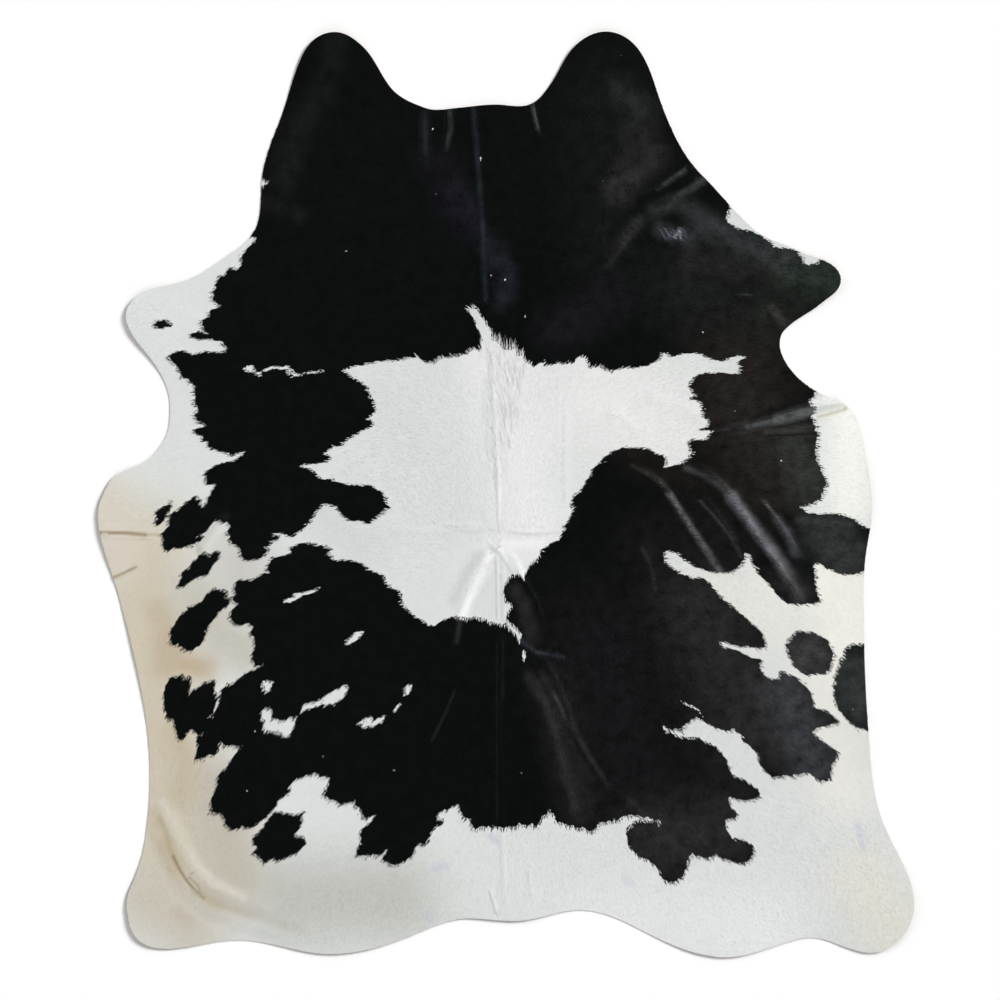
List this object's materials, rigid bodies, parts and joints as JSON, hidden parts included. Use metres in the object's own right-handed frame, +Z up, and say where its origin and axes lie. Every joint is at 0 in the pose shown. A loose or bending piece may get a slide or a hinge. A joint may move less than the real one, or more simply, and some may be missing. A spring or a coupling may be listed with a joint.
{
  "type": "cowhide rug",
  "caption": "Whole cowhide tanned with its hair on, black and white, laid flat as a floor rug, with soft storage folds and curled edges.",
  "frame": {"origin": "on the floor under the middle of the hide's outline, where its underside lies flat", "axes": "+Z up, off the floor; +Y along the spine towards the neck; +X towards the hide's right side as seen from above with the neck ahead"},
  "size_m": [2.038, 2.312, 0.018],
  "materials": {
    "hide": "short, flat, slightly glossy hair in black and warm white patches on tanned leather, with a suede underside"
  },
  "bodies": {
    "root": {"hide": "hide"}
  },
  "joints": []
}
